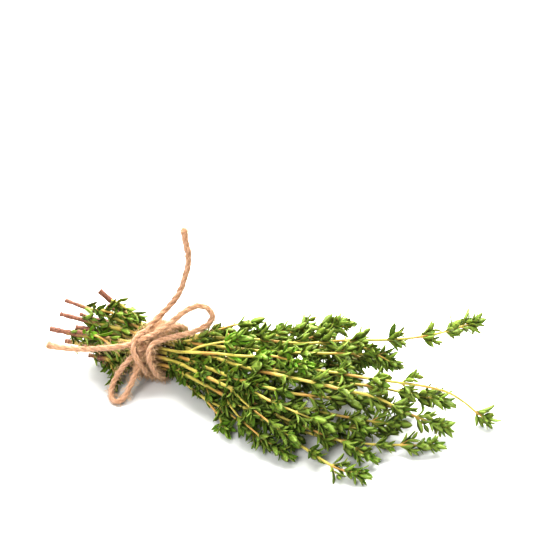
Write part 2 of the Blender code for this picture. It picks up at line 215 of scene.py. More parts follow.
def ply_strand(name, route, start=0.0, closed=False, swell=None, fray=None):
    """A closed tube of three plies twisted along the route, with what its material reads."""
    angle, reach = ply_outline()
    along = start + run_along(route)
    if closed:
        whole = along[-1] + np.linalg.norm(route[0] - route[-1])
        lay = whole / round(whole / TWINE_LAY * 3) * 3
    else:
        lay = TWINE_LAY
    ahead, side, up = side_ways(route, closed)
    swell = np.ones(len(route)) if swell is None else swell
    fray = np.zeros(len(route)) if fray is None else fray
    twist = 2 * math.pi * along / lay
    points, rows = [], len(route)
    for k in range(rows):
        turned = angle + twist[k]
        for turn, out in zip(turned, reach):
            way = side[k] * math.cos(turn) + up[k] * math.sin(turn)
            rough = noise.noise(Vector((way * UNEVEN_SIZE + route[k] * UNEVEN_PLACE).tolist()))
            round_ply = turn - twist[k]
            strands = noise.noise(Vector((FIBRES_ROUND * math.cos(round_ply),
                                          FIBRES_ROUND * math.sin(round_ply),
                                          FIBRES_ALONG * along[k])))
            bumps = 1 + UNEVEN * rough + FIBRES * strands
            points.append(route[k] + way * out * swell[k] * bumps)
    faces = []
    for k in range(rows if closed else rows - 1):
        here, after = k * AROUND, ((k + 1) % rows) * AROUND
        for i in range(AROUND):
            j = (i + 1) % AROUND
            faces.append((here + i, here + j, after + j, after + i))
    if not closed:
        faces.append(tuple(reversed(range(AROUND))))
        faces.append(tuple(range((rows - 1) * AROUND, rows * AROUND)))
    points = np.array(points)
    points[:, 2] = np.maximum(points[:, 2], SURFACE)
    mesh = bpy.data.meshes.new(name)
    mesh.from_pydata(from_tie(points).tolist(), [], faces)
    deepest, highest = reach.min(), reach.max()
    # How deep each point lies between the plies: the mask for the shade painted into the grooves.
    groove = np.tile((highest - reach) / (highest - deepest), rows)
    fibre = np.array([(math.cos(a + t) * PATTERN_ROUND, math.sin(a + t) * PATTERN_ROUND,
                       s * PATTERN_ALONG) for t, s in zip(twist, along) for a in angle])
    outward = -1 if fray[0] > fray[-1] else 1
    way = np.repeat(ahead * outward, AROUND, axis=0)
    keep_columns(mesh, {"groove": ("FLOAT", groove), "fibre": ("FLOAT_VECTOR", fibre.ravel()),
                        "fray": ("FLOAT", np.repeat(fray, AROUND)),
                        "way": ("FLOAT_VECTOR", way.ravel())})
    mesh.shade_smooth()
    if not closed:
        mesh.set_sharp_from_angle(angle=math.radians(60))
    return mesh


class Nodes:
    """Adds nodes to one tree. A value that is a socket is linked, any other value is set."""

    def __init__(self, tree):
        self.tree = tree

    def add(self, kind, inputs=(), **settings):
        made = self.tree.nodes.new(kind)
        for name, value in settings.items():
            setattr(made, name, value)
        for name, value in dict(inputs).items():
            self.put(made.inputs[name], value)
        return made

    def put(self, socket, value):
        if isinstance(value, bpy.types.NodeSocket):
            self.tree.links.new(value, socket)
        else:
            socket.default_value = value

    def maths(self, operation, a, b=0.0):
        return self.add("ShaderNodeMath", {0: a, 1: b}, operation=operation).outputs[0]


class Finish(Nodes):
    """Builds the nodes of one finish."""

    def __init__(self, name):
        self.material = bpy.data.materials.new(name)
        self.material.use_nodes = True
        super().__init__(self.material.node_tree)
        self.shader = self.tree.nodes["Principled BSDF"]

    def read(self, name, output="Fac"):
        return self.add("ShaderNodeAttribute", attribute_name=name).outputs[output]

    def place(self):
        return self.add("ShaderNodeTexCoord").outputs["Object"]

    def mottle(self, where, scale, detail=3.0, roughness=0.55):
        inputs = {"Vector": where, "Scale": scale, "Detail": detail, "Roughness": roughness}
        return self.add("ShaderNodeTexNoise", inputs).outputs["Fac"]

    def spread(self, value, low, high, to_low=0.0, to_high=1.0):
        inputs = {"Value": value, "From Min": low, "From Max": high,
                  "To Min": to_low, "To Max": to_high}
        return self.add("ShaderNodeMapRange", inputs).outputs["Result"]

    def mix(self, share, first, second):
        """The first colour, with this share of it made the second (inputs 6 and 7 are colours)."""
        mixer = self.add("ShaderNodeMix", data_type="RGBA")
        for index, value in ((0, share), (6, first), (7, second)):
            self.put(mixer.inputs[index], (*value, 1) if isinstance(value, tuple) else value)
        return mixer.outputs[2]

    def finish(self, colour, roughness, relief, depth, **constants):
        bump = self.add("ShaderNodeBump", {"Height": relief, "Distance": depth, "Strength": 1.0})
        self.put(self.shader.inputs["Base Color"], colour)
        self.put(self.shader.inputs["Roughness"], roughness)
        self.put(self.shader.inputs["Normal"], bump.outputs["Normal"])
        for name, value in constants.items():
            self.shader.inputs[name.replace("_", " ")].default_value = value
        return self.material


def jute_finish():
    jute = Finish("jute_twine")
    fibre = jute.read("fibre", "Vector")
    groove = jute.read("groove")
    long_fibres = jute.mottle(fibre, 7.0, 4.0, 0.65)
    bands = jute.mottle(fibre, 2.4, 2.0)
    patches = jute.mottle(jute.place(), 260.0, 2.0)
    straw, peach = (0.61, 0.395, 0.265), (0.73, 0.505, 0.365)
    colour = jute.mix(jute.spread(patches, 0.35, 0.65), straw, peach)
    colour = jute.mix(jute.spread(bands, 0.45, 0.62, 0.0, 0.6), colour, (0.44, 0.26, 0.155))
    colour = jute.mix(jute.spread(long_fibres, 0.42, 0.62, 0.0, 0.8), colour, (0.40, 0.225, 0.125))
    # Painted shade: the colour turns dark brown towards the bottom of the grooves between the
    # plies.
    colour = jute.mix(jute.spread(groove, 0.45, 1.0, 0.0, 0.55), colour, (0.30, 0.155, 0.085))
    relief = jute.maths("ADD", jute.mottle(fibre, 16.0, 4.0, 0.7),
                        jute.maths("MULTIPLY", long_fibres, 1.2))
    return jute.finish(colour, 0.9, relief, 0.00028, Sheen_Weight=0.35, Sheen_Roughness=0.5,
                       Specular_IOR_Level=0.2)


JUTE = jute_finish()


def waist_point(waist_x, angle, radius=TURN_RADIUS):
    """A point of a turn round the waist: turns lean forward at the top and meet at the knot."""
    pull = KNOT_PULL * (0.5 + 0.5 * math.cos(angle - KNOT_ANGLE)) ** 3
    leaned = waist_x + TURN_LEAN * math.sin(angle)
    x = leaned + (KNOT_X - leaned) * pull
    return (x, radius * math.cos(angle), AXIS_HEIGHT + radius * math.sin(angle))


def turn_route(waist_x):
    count = round(2 * math.pi * TURN_RADIUS / STATION)
    angles = np.linspace(0, 2 * math.pi, count, endpoint=False)
    return np.array([waist_point(waist_x, angle) for angle in angles])


def open_turn(waist_x):
    """From low at the front, under the stems, up the back and over the top into the knot."""
    angles = np.radians(np.arange(228, 486, 14))
    rise = np.interp(angles, np.radians(RISE_ANGLES), RISE)
    return [waist_point(waist_x, angle, TURN_RADIUS + up) for angle, up in zip(angles, rise)]


def lay_the_strand():
    """One strand: left end, right loop, a turn, left loop, a turn over the knot, upper end."""
    stretches = {
        "twine_end_left": TWINE_END_LEFT[::-1],
        "knot_from_left_end": [TWINE_END_LEFT[0], *KNOT_FROM_LEFT_END, BOW_LOOP_RIGHT[0]],
        "bow_loop_right": BOW_LOOP_RIGHT,
        "turn_from_right_loop": [BOW_LOOP_RIGHT[-1], *DOWN_FROM_RIGHT_LOOP,
                                 *open_turn(FROM_RIGHT_LOOP_X)],
        "knot_into_left_loop": [*KNOT_INTO_LEFT_LOOP, BOW_LOOP_LEFT[0]],
        "bow_loop_left": BOW_LOOP_LEFT,
        "knot_out_of_left_loop": [BOW_LOOP_LEFT[-1], *KNOT_OUT_OF_LEFT_LOOP],
        "turn_over_the_knot": [*open_turn(OVER_THE_KNOT_X)[::-1], *DOWN_OVER_THE_KNOT[::-1],
                               TWINE_END_UP[0]],
        "twine_end_up": TWINE_END_UP}
    laid, start = {}, 0.0
    for name, points in stretches.items():
        route = smooth_through(points, STATION)
        laid[name] = (route, start)
        start += run_along(route)[-1]
    return laid


def join_meshes(name, meshes):
    """Several meshes as the islands of one, with their attributes."""
    pieces = [bpy.data.objects.new(m.name, m) for m in meshes]
    for piece in pieces:
        bpy.context.scene.collection.objects.link(piece)
    with bpy.context.temp_override(active_object=pieces[0], selected_editable_objects=pieces):
        bpy.ops.object.join()
    joined = pieces[0].data
    bpy.data.objects.remove(pieces[0])
    joined.name = name
    return joined


class GrowingTree(Nodes):
    """A tree that grows geometry, with named inputs."""

    def __init__(self, name, inputs, output):
        super().__init__(bpy.data.node_groups.new(name, "GeometryNodeTree"))
        self.tree.is_modifier = True
        sockets = self.tree.interface
        for given, kind in inputs.items():
            sockets.new_socket(given, in_out="INPUT", socket_type="NodeSocket" + kind)
        sockets.new_socket(output, in_out="OUTPUT", socket_type="NodeSocketGeometry")
        self.given = self.tree.nodes.new("NodeGroupInput").outputs

    def grow(self, kind, inputs, **settings):
        return self.add("GeometryNode" + kind, inputs, **settings).outputs

    def read(self, name, kind):
        return self.grow("InputNamedAttribute", {"Name": name}, data_type=kind)["Attribute"]

    def draw(self, inputs, kind="FLOAT"):
        """A random value for each hair (output 0 is a vector, output 1 a number)."""
        drawn = self.add("FunctionNodeRandomValue", inputs, data_type=kind)
        return drawn.outputs[1 if kind == "FLOAT" else 0]

    def vector(self, operation, inputs):
        return self.add("ShaderNodeVectorMath", inputs, operation=operation).outputs[0]

    def end(self, geometry):
        self.tree.links.new(geometry, self.tree.nodes.new("NodeGroupOutput").inputs[0])
        return self.tree


HAIR_SIDES, HAIR_THICKNESS = 3, 0.02
HAIRS_PER_AREA, LONGEST_HAIR = 1.5e6, 0.0033
MORE_AT_ENDS, SHORTER_AT_ENDS = 5.0, 0.4
HAIRS_ALONG, HAIRS_OUT, HAIRS_ASTRAY = 2.2, 0.6, 0.4


def hair_tree():
    """Loose hairs on the twine: more of them, and shorter ones, where it frays at its cut ends."""
    inputs = {"Twine": "Geometry", "Hairs per area": "Float", "Longest": "Float",
              "Seed": "Int", "Hair finish": "Material"}
    hairy = GrowingTree("jute_hairs", inputs, "Hairs")
    given, grow, maths = hairy.given, hairy.grow, hairy.maths
    fray, way = hairy.read("fray", "FLOAT"), hairy.read("way", "FLOAT_VECTOR")
    more = maths("ADD", maths("MULTIPLY", fray, MORE_AT_ENDS), 1.0)
    spots = grow("DistributePointsOnFaces",
                 {"Mesh": given["Twine"], "Seed": given["Seed"],
                  "Density": maths("MULTIPLY", given["Hairs per area"], more)})
    swing = hairy.draw({"Min": -1.0, "Max": 1.0, "Seed": 3})
    swing = maths("MULTIPLY", swing, maths("SUBTRACT", 1.0, fray))
    swing = maths("ADD", swing, maths("MULTIPLY", fray, HAIRS_ALONG))
    stray = hairy.draw({0: (-HAIRS_ASTRAY,) * 3, 1: (HAIRS_ASTRAY,) * 3, "Seed": 5},
                       "FLOAT_VECTOR")
    along = hairy.vector("SCALE", {0: way, "Scale": swing})
    out = hairy.vector("SCALE", {0: spots["Normal"], "Scale": HAIRS_OUT})
    lean = hairy.vector("ADD", {0: hairy.vector("ADD", {0: along, 1: out}), 1: stray})
    stand = hairy.add("FunctionNodeAlignRotationToVector", {"Vector": lean}, axis="Z")
    size = hairy.draw({"Min": 0.25, "Max": 1.0, "Seed": 7})
    size = maths("MULTIPLY", size, given["Longest"])
    shorter = maths("SUBTRACT", 1.0, maths("MULTIPLY", fray, SHORTER_AT_ENDS))
    bend = grow("CurveQuadraticBezier", {"Resolution": 4, "Start": (0, 0, 0),
                                         "Middle": (0.05, 0.02, 0.5), "End": (0.38, 0.12, 0.85)})
    ring = grow("CurvePrimitiveCircle", {"Resolution": HAIR_SIDES, "Radius": HAIR_THICKNESS})
    hair = grow("CurveToMesh", {"Curve": bend[0], "Profile Curve": ring[0], "Fill Caps": True})
    hairs = grow("InstanceOnPoints", {
        "Points": spots["Points"], "Instance": hair[0], "Rotation": stand.outputs[0],
        "Scale": maths("MULTIPLY", size, shorter)})
    hairs = grow("RealizeInstances", {"Geometry": hairs[0]})
    hairs = grow("SetMaterial", {"Geometry": hairs[0], "Material": given["Hair finish"]})
    return hairy.end(hairs[0])


def hair_finish():
    hair = Finish("jute_hair")
    patches = hair.mottle(hair.place(), 900.0, 2.0)
    colour = hair.mix(hair.spread(patches, 0.35, 0.65), (0.50, 0.33, 0.19), (0.74, 0.56, 0.38))
    return hair.finish(colour, 0.7, patches, 0.00002, Specular_IOR_Level=0.3)


HAIR_TREE, HAIR = hair_tree(), hair_finish()


def grown_mesh(name, mesh, tree, inputs):
    """What the node tree grows on the mesh, as a plain mesh."""
    guide = bpy.data.objects.new(name + "_guide", mesh)
    bpy.context.scene.collection.objects.link(guide)
    grow = guide.modifiers.new("grow", "NODES")
    grow.node_group = tree
    sockets = {i.name: i.identifier for i in tree.interface.items_tree if i.in_out == "INPUT"}
    for name_of_input, value in inputs.items():
        grow[sockets[name_of_input]] = value
    graph = bpy.context.evaluated_depsgraph_get()
    grown = bpy.data.meshes.new_from_object(guide.evaluated_get(graph), depsgraph=graph,
                                            preserve_all_data_layers=True)
    bpy.data.objects.remove(guide)
    grown.name = name
    return grown


def rest_on_surface(mesh, ring):
    """Lifts each ring of so many points that reaches under the surface, to lie on it instead."""
    places = np.empty(3 * len(mesh.vertices))
    mesh.vertices.foreach_get("co", places)
    rings = places.reshape(-1, ring, 3)
    rings[:, :, 2] += np.maximum(0, -rings[:, :, 2].min(axis=1, keepdims=True))
    mesh.vertices.foreach_set("co", rings.ravel())
    mesh.update()


def finish_twine(name, mesh, node, seed):
    """The twine of one CAD solid, and its hairs as a piece on it."""
    mesh.materials.clear()
    mesh.materials.append(JUTE)
    inputs = {"Hairs per area": HAIRS_PER_AREA, "Longest": LONGEST_HAIR, "Seed": seed,
              "Hair finish": HAIR}
    hairs = grown_mesh("hairs_of_" + name, mesh, HAIR_TREE, inputs)
    rest_on_surface(hairs, HAIR_SIDES)
    hairs = add_piece("hairs_of_" + name, hairs)
    piece = add_piece("laid_" + name, mesh)
    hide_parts(node)
    return piece, hairs


def worn(route, fray_at):
    """How thick and how frayed the strand is at each station: uneven, and flared at an end."""
    along = run_along(route)
    swell = np.array([1 + THICK_AND_THIN * noise.noise(Vector((0.13 * a, 7.1, len(route))))
                      for a in along])
    fray = np.zeros(len(route))
    if fray_at is not None:
        from_end = along if fray_at == 0 else along[-1] - along
        fray = np.clip(1 - from_end / FRAY_LENGTH, 0, 1)
        swell += FLARE * np.clip(1 - from_end / FLARE_LENGTH, 0, 1) ** 1.5
    return swell, fray


strand = lay_the_strand()
# Each free stretch: what its far end is, which end leaves the knot and which end frays.
FREE = {"twine_end_left": ("bare", -1, 0), "bow_loop_right": ("object", 0, None),
        "bow_loop_left": ("object", 0, None), "twine_end_up": ("bare", 0, -1)}
for seed, (name, (far_end, exit_index, fray_at)) in enumerate(FREE.items()):
    route, start = strand[name]
    swell, fray = worn(route, fray_at)
    twine = ply_strand(name, route, start, swell=swell, fray=fray)
    piece, hairs = finish_twine(name, twine, name, seed)
    path = from_tie(route if exit_index == 0 else route[::-1])
    round(float(run_along(path)[-1]), 4)

binding = [ply_strand("turn", turn_route(x), closed=True) for x in CLOSED_TURNS_X]
binding += [ply_strand(name, *strand[name], swell=worn(strand[name][0], None)[0])
            for name in strand if name not in FREE]
finish_twine("binding", join_meshes("binding", binding), "twine_binding", seed=11)

# ------------------------------------------------------------
# The sprigs: each is one cut stem, brown and woody at its cut end and yellow-green towards its
# tip, with side shoots and with pairs of small pointed leaves that have younger leaves in their
# axils. Each row is the stem's radius at the tie, its route and the routes of its side shoots.
SPRIGS = {
    "long_top": (0.65,
      [(-49, 3.6, 25.6), (-24, 3, 21), (-9.5, 2, 19.5), (6, 2, 20.2), (32, 3, 24.5), (55, 5, 26),
       (72, 10, 28), (92, 15, 29.5), (107, 23, 30), (121, 33, 32)],
      [(72, 10, 28), (80, 8.4, 27.4), (88, 8, 25), (93, 8.6, 22.6)],
      [(-38, 3.3, 23.5), (-32, 1.4, 25.6), (-26, 0.4, 26.2), (-19, -0.4, 25.6)]),
    "top": (0.75,
      [(-49, -2.2, 22.4), (-22, -2.5, 20.8), (-9.5, -2, 19.5), (5, -2.3, 20.3), (39, -4, 25),
       (59, -2, 27), (74, 4, 26), (85, 9, 24), (92, 10, 21.5)],
      [(5, -2.3, 20.3), (10, -3, 23), (16, 0, 25.6), (25, 6, 27.6), (32, 11, 27.6)]),
    "bright": (0.7,
      [(-38, -10.5, 21.6), (-22, -8.2, 19.6), (-9.5, -5.4, 17.6), (4, -6.2, 18), (11, -10, 22),
       (24, -11, 25), (37, -12, 27.5), (49, -11, 29.5), (62, -15, 31)],
      [(11, -10, 22), (16, -8.8, 25.2), (25, -6.5, 28), (32, -4.5, 29.5)],
      [(-36, -10.1, 21.4), (-28, -11.6, 22), (-22, -12.4, 19.2), (-18, -13.8, 15.5)]),
    "upper_back": (0.9,
      [(-35, 8, 30.6), (-22, 7.2, 21.4), (-11, 5.4, 17.5), (6, 5.7, 18.1), (25, 9, 20.5),
       (41, 11, 22), (53, 19, 24)],
      [(-30, 7.8, 27.4), (-25, 5.6, 27.6), (-19, 3.9, 25.8), (-16, 4.2, 24)]),
    "back": (0.7,
      [(-33, 11.5, 21), (-22, 9.7, 17), (-9.5, 7.3, 14.2), (6, 7.8, 14.6), (30, 13, 17),
       (53, 18, 18.5), (64, 27, 22.5)],
      [(30, 13, 17), (44, 20.6, 19.6), (56, 27, 19.4), (66, 34, 17.6)]),
    "back_low": (0.7,
      [(-36, 11.5, 12.6), (-24, 10, 11.4), (-9.5, 7.3, 10.2), (6, 8, 10.3), (35, 17, 11.5),
       (62, 22, 12), (80, 21, 11)],
      [(35, 17, 11.5), (48, 24.5, 9.6), (60, 29, 7.4), (70, 31.5, 5.4)]),
    "under_back": (0.7,
      [(-30, 7, 5.5), (-22, 6.4, 6.2), (-13.5, 5.4, 6.8), (6, 6.2, 6.6), (30, 14, 5.4),
       (55, 19, 5), (73, 24, 4.5)]),
    "inner_back": (0.75,
      [(-44, 6.6, 17.4), (-24, 4.7, 15.4), (-9.5, 3.4, 14.1), (6, 3.5, 14.4), (36, 4, 18.5),
       (60, 7, 20.5), (74, 12, 19.5), (90, 15, 15.5)],
      [(36, 4, 18.5), (50, -0.5, 20.6), (64, -2.4, 19.8), (78, -1.6, 17)]),
    "inner_front": (0.75,
      [(-34, 2, 10), (-24, 2.4, 10.1), (-9.5, 3.4, 10.2), (6, 3, 10.7), (30, -4, 14.5),
       (60, -10, 19), (86, -6, 20), (98, -4, 18.5), (108, -1, 16), (117, 1, 14)]),
    "drooping": (0.7,
      [(-40, 0.4, 14.8), (-24, 0.2, 13.6), (-9.5, 0, 12.2), (6, -0.8, 13.2), (20, -4.5, 17.5),
       (41, -8.5, 22), (70, -8.5, 25), (88, -9, 26.2), (101, -7.5, 26), (111, -5, 24.6),
       (119, -1, 20.5), (125, 4, 13), (129, 6, 8), (135, 7, 3.6)]),
    "upper_front": (0.8,
      [(-41, -5.4, 19.6), (-24, -2.6, 17.8), (-9.5, 0, 16.1), (6, -2, 17.4), (20, -8, 20.6),
       (38, -15.6, 24.6), (58, -19.5, 27.2), (71, -19.5, 27), (80, -18, 25), (92, -13.5, 21),
       (104, -11, 14.5), (112, -9, 10.6), (119, -7, 7.4)],
      [(38, -15.6, 24.6), (48, -15, 25.6), (60, -13.6, 24.6), (71, -13.4, 22.4)]),
    "middle_front": (0.85,
      [(-52, -7, 17.4), (-24, -5, 15.4), (-9.5, -3.4, 14.1), (6, -6.2, 15.4), (20, -13.4, 18.8),
       (37, -20.5, 21.8), (50, -23.4, 23), (62, -23, 22.4), (74, -17.5, 19.4), (85, -11.5, 16)],
      [(37, -20.5, 21.8), (50, -28.2, 21.4), (63, -30, 19.2), (76, -29.4, 15.6)]),
    "front": (0.8,
      [(-36, -10.5, 14.2), (-24, -9, 14.2), (-9.5, -7.3, 14.2), (4, -8.4, 14.4), (17, -15.4, 17),
       (32, -21.4, 17.8), (48, -24, 17.6), (63, -23.5, 16.4), (79, -20.5, 13.6), (93, -16, 10.4),
       (102, -12, 8.6)],
      [(32, -21.4, 17.8), (43, -29, 16.8), (54, -33.8, 14.2), (64, -36.6, 10.8)]),
    "front_low": (0.8,
      [(-30, -8.8, 8.4), (-22, -8.3, 9.2), (-9.5, -7.3, 10.2), (4, -8.4, 10.8), (12, -13.6, 12.6),
       (30, -21.6, 13.2), (42, -26.6, 12.4), (55, -31, 9.8), (68, -35, 6.4), (83, -41, 4.6),
       (94, -42, 4.2)],
      [(30, -21.6, 13.2), (40, -30, 10.2), (50, -35, 7.4), (62, -39.6, 4.8)],
      [(-26, -8.55, 8.8), (-23, -11.8, 8.2), (-21, -14.6, 6.6), (-19, -18, 4.2)]),
    "centre_low": (0.7,
      [(-46, -6, 11.6), (-22, -4, 10.8), (-9.5, -3.4, 10.2), (6, -5, 10.4), (20, -11.5, 11.4),
       (40, -20.5, 12.2), (57, -27.4, 12.6), (71, -29.5, 11), (82, -29, 8), (95, -31, 4.8)]),
    "under_front": (0.65,
      [(-29, -6, 4.4), (-20, -5.8, 5.6), (-13.5, -5.4, 6.8), (4, -6.6, 7.2), (11, -13, 7.6),
       (20, -18.6, 7.4), (28, -24.6, 5.8), (34, -31.5, 4)],
      [(20, -18.6, 7.4), (31, -23.6, 7.2), (41, -28.6, 5.6), (49, -33.5, 4)]),
    "low_centre": (0.7,
      [(-39, 0.6, 7.2), (-24, 0.2, 7.8), (-9.5, 0, 8.3), (6, -1.4, 8), (30, -13.4, 7.4),
       (52, -22, 7.6), (70, -27, 6.8), (91, -24.6, 5.4), (105, -20.5, 5), (118, -16.5, 4.8)],
      [(52, -22, 7.6), (64, -20.6, 8.8), (77, -22.4, 10), (90, -21.4, 10.2)]),
    "under_middle": (0.65,
      [(-37, -2.4, 3.4), (-20, -2.2, 4.2), (-13.5, -2, 4.9), (6, -3.4, 4.6), (30, -9.4, 4),
       (58, -15.4, 4.4), (82, -16.6, 4.6), (97, -13.5, 4.2)]),
    "under_right": (0.65,
      [(-31, 2.8, 3.8), (-20, 2.4, 4.3), (-13.5, 2, 4.9), (6, 1.8, 4.6), (34, -1, 4.6),
       (68, -2.6, 6.6), (92, 0, 6.2), (101, 2.4, 5)],
      [(34, -1, 4.6), (48, 5, 6.8), (62, 8.6, 8.4), (76, 10, 8.4)]),
}
STEM_STATION, STEM_SIDES = 1.2, 8
WOODY_SHARE, SHOOT_RADIUS, TIP_RADIUS = 1.35, 0.55, 0.42
BARE_TIE = (-14.6, -1.0)
RUBBED_START, RUBBED_END, RUBBED_SHARE = 4, 30, 0.5
BARE_STRETCH = {"drooping": (103, 129), "bright": (0, 21)}
COVERED_BELOW = 15
BARK_END, COVERED_BARK_END = 24, 5
LOWEST_LEAVES, COVERED_LOWEST_LEAVES = 6.5, 1.5
TIP_PAIRS, TUFTS_FROM, YOUNG_LENGTH = 1.5, 3, 14
TUFT_HEIGHTS, TUFT_SHARES = (10, 16), (1.0, 0.3)
# How far down from the tip, or where along the bunch, and the value there.
LEAF_LENGTHS = (0, 2, 6, 20), (5.4, 7.2, 8.7, 9.3)
LEAF_ANGLES = (0, 3, 10, 25), (0.2, 0.4, 0.5, 0.55)
SHORTER_NEAR_TIE = (-20, -14, 4, 26), (0.8, 0.66, 0.6, 1.0)
WIDEST_STEPS = (-14, 0, 14, 34, 60), (6.0, 3.0, 6.0, 10.0, 12.5)
# The pairs of a tuft: how far up it, the leaves' length and their angle.
TUFT_PAIRS = (0.8, 6.8, 0.65), (2.8, 6.2, 0.5), (4.8, 5.0, 0.3)
TWIG_RADII = (0.34, 0.3, 0.22)
LEAF_ROWS = {0.10: 0.14, 0.26: 0.70, 0.45: 1.0, 0.66: 0.88, 0.86: 0.51}
LEAF_ACROSS, LEAF_THICKNESS, MIDRIB_DEPTH = (-1, -0.5, 0, 0.5, 1), 0.035, 0.022


def leaf_shape(index, width, fold, curl, arch, twist):
    """One leaf as a closed mesh, one unit long up Z, with its upper face to +Y."""
    spine, previous, height, depth = [], 0.0, 0.0, 0.0
    for v in (*LEAF_ROWS, 1.0):
        lean = arch * v
        height += (v - previous) * math.cos(lean)
        depth -= (v - previous) * math.sin(lean)
        spine.append((v, height, depth, lean))
        previous = v
    points, plan = [(0, 0, 0)], [(0.5, 0.0)]
    for (v, height, depth, lean), share in zip(spine, LEAF_ROWS.values()):
        turn = twist * v
        for across in (*LEAF_ACROSS, None):
            under = across is None
            x = 0.0 if under else across * share * width / 2
            y = fold * abs(x) - curl * abs(x) ** 2 / width - (MIDRIB_DEPTH if across == 0 else 0)
            if under:
                y -= LEAF_THICKNESS
            x, y = x * math.cos(turn) - y * math.sin(turn), x * math.sin(turn) + y * math.cos(turn)
            points.append((x, depth + y * math.cos(lean), height + y * math.sin(lean)))
            plan.append((0.5 if under else 0.5 + across / 2, v))
    points.append((0, spine[-1][2], spine[-1][1]))
    plan.append((0.5, 1.0))
    last, per_row, rows = len(points) - 1, len(LEAF_ACROSS) + 1, len(LEAF_ROWS)
    faces, undersides = [], []
    for a in range(per_row):
        b = (a + 1) % per_row
        faces.append((0, 1 + b, 1 + a))
        for row in range(rows - 1):
            near, far = 1 + row * per_row, 1 + (row + 1) * per_row
            faces.append((near + a, near + b, far + b, far + a))
        end = 1 + (rows - 1) * per_row
        faces.append((end + a, end + b, last))
        undersides += [float(a >= per_row - 2)] * (rows + 1)
    mesh = bpy.data.meshes.new("leaf_shape_%d" % index)
    mesh.from_pydata(points, [], faces)
    uv = mesh.uv_layers.new(name="leaf_plan")
    for loop in mesh.loops:
        uv.data[loop.index].uv = plan[loop.vertex_index]
    mesh.attributes.new("underside", "FLOAT", "FACE").data.foreach_set("value", undersides)
    mesh.shade_smooth()
    return bpy.data.objects.new(mesh.name, mesh)


FLAT, CURLED, FOLDED, TWISTED, CUPPED, ROLLED = range(6)
# The width, fold, curl, arch and twist of each form.
LEAF_FORMS = {FLAT: (0.41, 0.36, 0.1, 0.15, 0.0), CURLED: (0.39, 0.36, 0.2, 0.55, 0.1),
              FOLDED: (0.38, 0.60, 0.0, 0.10, -0.1), TWISTED: (0.40, 0.44, 0.1, 0.30, 0.3),
              CUPPED: (0.42, 0.60, 0.0, -0.25, 0.0), ROLLED: (0.44, 0.26, 0.5, 0.35, -0.2)}
LEAF_SHAPES = bpy.data.collections.new("leaf_shapes")
for index, form in LEAF_FORMS.items():
    LEAF_SHAPES.objects.link(leaf_shape(index, *form))

NEXT_CELLS = list(product((-1, 0, 1), repeat=3))


class Room:
    """Keeps what has been placed in small cells, to tell how much room a new leaf has."""

    def __init__(self, cell=2.5):
        self.cell, self.cells = cell, {}

    def add(self, points, radius, owner):
        for point in points:
            key = tuple((point // self.cell).astype(int))
            self.cells.setdefault(key, []).append((*point, radius, owner))

    def gap(self, points, own):
        """The smallest distance from the points to anything placed that isn't of the owner."""
        least = self.cell
        for x, y, z in points:
            i, j, k = int(x // self.cell), int(y // self.cell), int(z // self.cell)
            for a, b, c in NEXT_CELLS:
                for px, py, pz, radius, owner in self.cells.get((i + a, j + b, k + c), ()):
                    if owner != own:
                        far = math.sqrt((x - px) ** 2 + (y - py) ** 2 + (z - pz) ** 2)
                        least = min(least, far - radius)
        return least


def stem_line(radius, points, is_side):
    route = smooth_through(points, STEM_STATION)
    if is_side:
        return route, np.linspace(SHOOT_RADIUS, TIP_RADIUS, len(route))
    x = route[:, 0]
    radii = [radius * WOODY_SHARE, radius, 0.88 * radius, TIP_RADIUS]
    return route, np.interp(x, [x[0], 0, 0.6 * x[-1], x[-1]], radii)


def node_stops(route, along, is_side, random):
    """Where the pairs of leaves grow, from the tip down: close, then wide apart, then closer."""
    stops, here, step = [], along[-1] - 0.3, 1.2
    is_covered = is_side or route[0][2] < COVERED_BELOW
    lowest = COVERED_LOWEST_LEAVES if is_covered else LOWEST_LEAVES
    while here > lowest:
        stops.append(here)
        here -= step * random.uniform(0.8, 1.2)
        x = np.interp(here, along, route[:, 0])
        step = min(step * 1.7, np.interp(x, *WIDEST_STEPS))
    if is_covered and stops[-1] > lowest + 2:
        stops.append(lowest)
    return stops


def leaf_stand(length_way, face_way):
    """The turn that stands a leaf shape along the one way, with its upper face to the other."""
    across = unit(np.cross(face_way, length_way))
    face_way = np.cross(length_way, across)
    turn = Matrix(np.stack([across, face_way, length_way], axis=1).tolist())
    return turn.to_quaternion()


LEAF_CLEARANCE, LEAST_GAP, GOOD_GAP = 0.15, 0.12, 0.8
OUTSIDE_SHAPES = [FLAT, CURLED, FOLDED, TWISTED, ROLLED]


